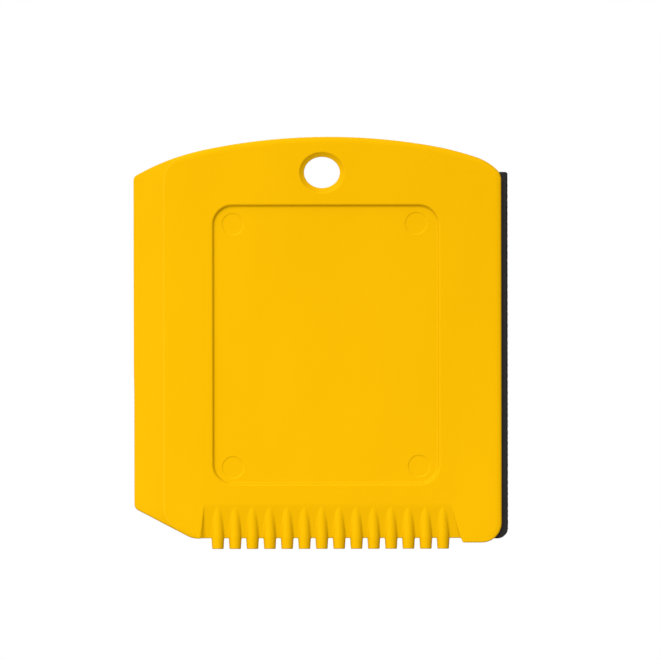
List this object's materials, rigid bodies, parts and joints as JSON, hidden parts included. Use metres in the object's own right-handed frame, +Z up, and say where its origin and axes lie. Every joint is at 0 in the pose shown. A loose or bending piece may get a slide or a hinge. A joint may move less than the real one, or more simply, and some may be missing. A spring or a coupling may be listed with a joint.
{
  "type": "hand scraper with squeegee lip",
  "caption": "Flat hand scraper plate with a bevelled blade edge, toothed comb edge, oval hanging hole, recessed panel and a black rubber squeegee lip.",
  "frame": {"origin": "bottom centre of the object's bounding box: level with the tips of the comb teeth, on the plate's mid-plane", "axes": "+Z up along the plate's height, towards the arched top and the hanging hole; +X along the width, from the blade edge to the rubber lip; +Y from the front face to the back face, through the thickness"},
  "size_m": [0.1, 0.005, 0.1101],
  "materials": {
    "plate": "fine satin moulded surface, opaque warm yellow",
    "lip": "matt black extruded rubber"
  },
  "bodies": {
    "scraper": {"scraper_body": "plate", "squeegee_lip_root": "lip"},
    "lip_edge": {"squeegee_lip_blade": "lip"}
  },
  "joints": [
    {"name": "lip_flex", "type": "hinge", "parent": "scraper", "child": "lip_edge", "pos_m": [0.0483, 0, 0.0517], "axis": [0, 0, 1], "range_deg": [-20, 20], "stiffness_Nm_per_rad": 0.05}
  ]
}
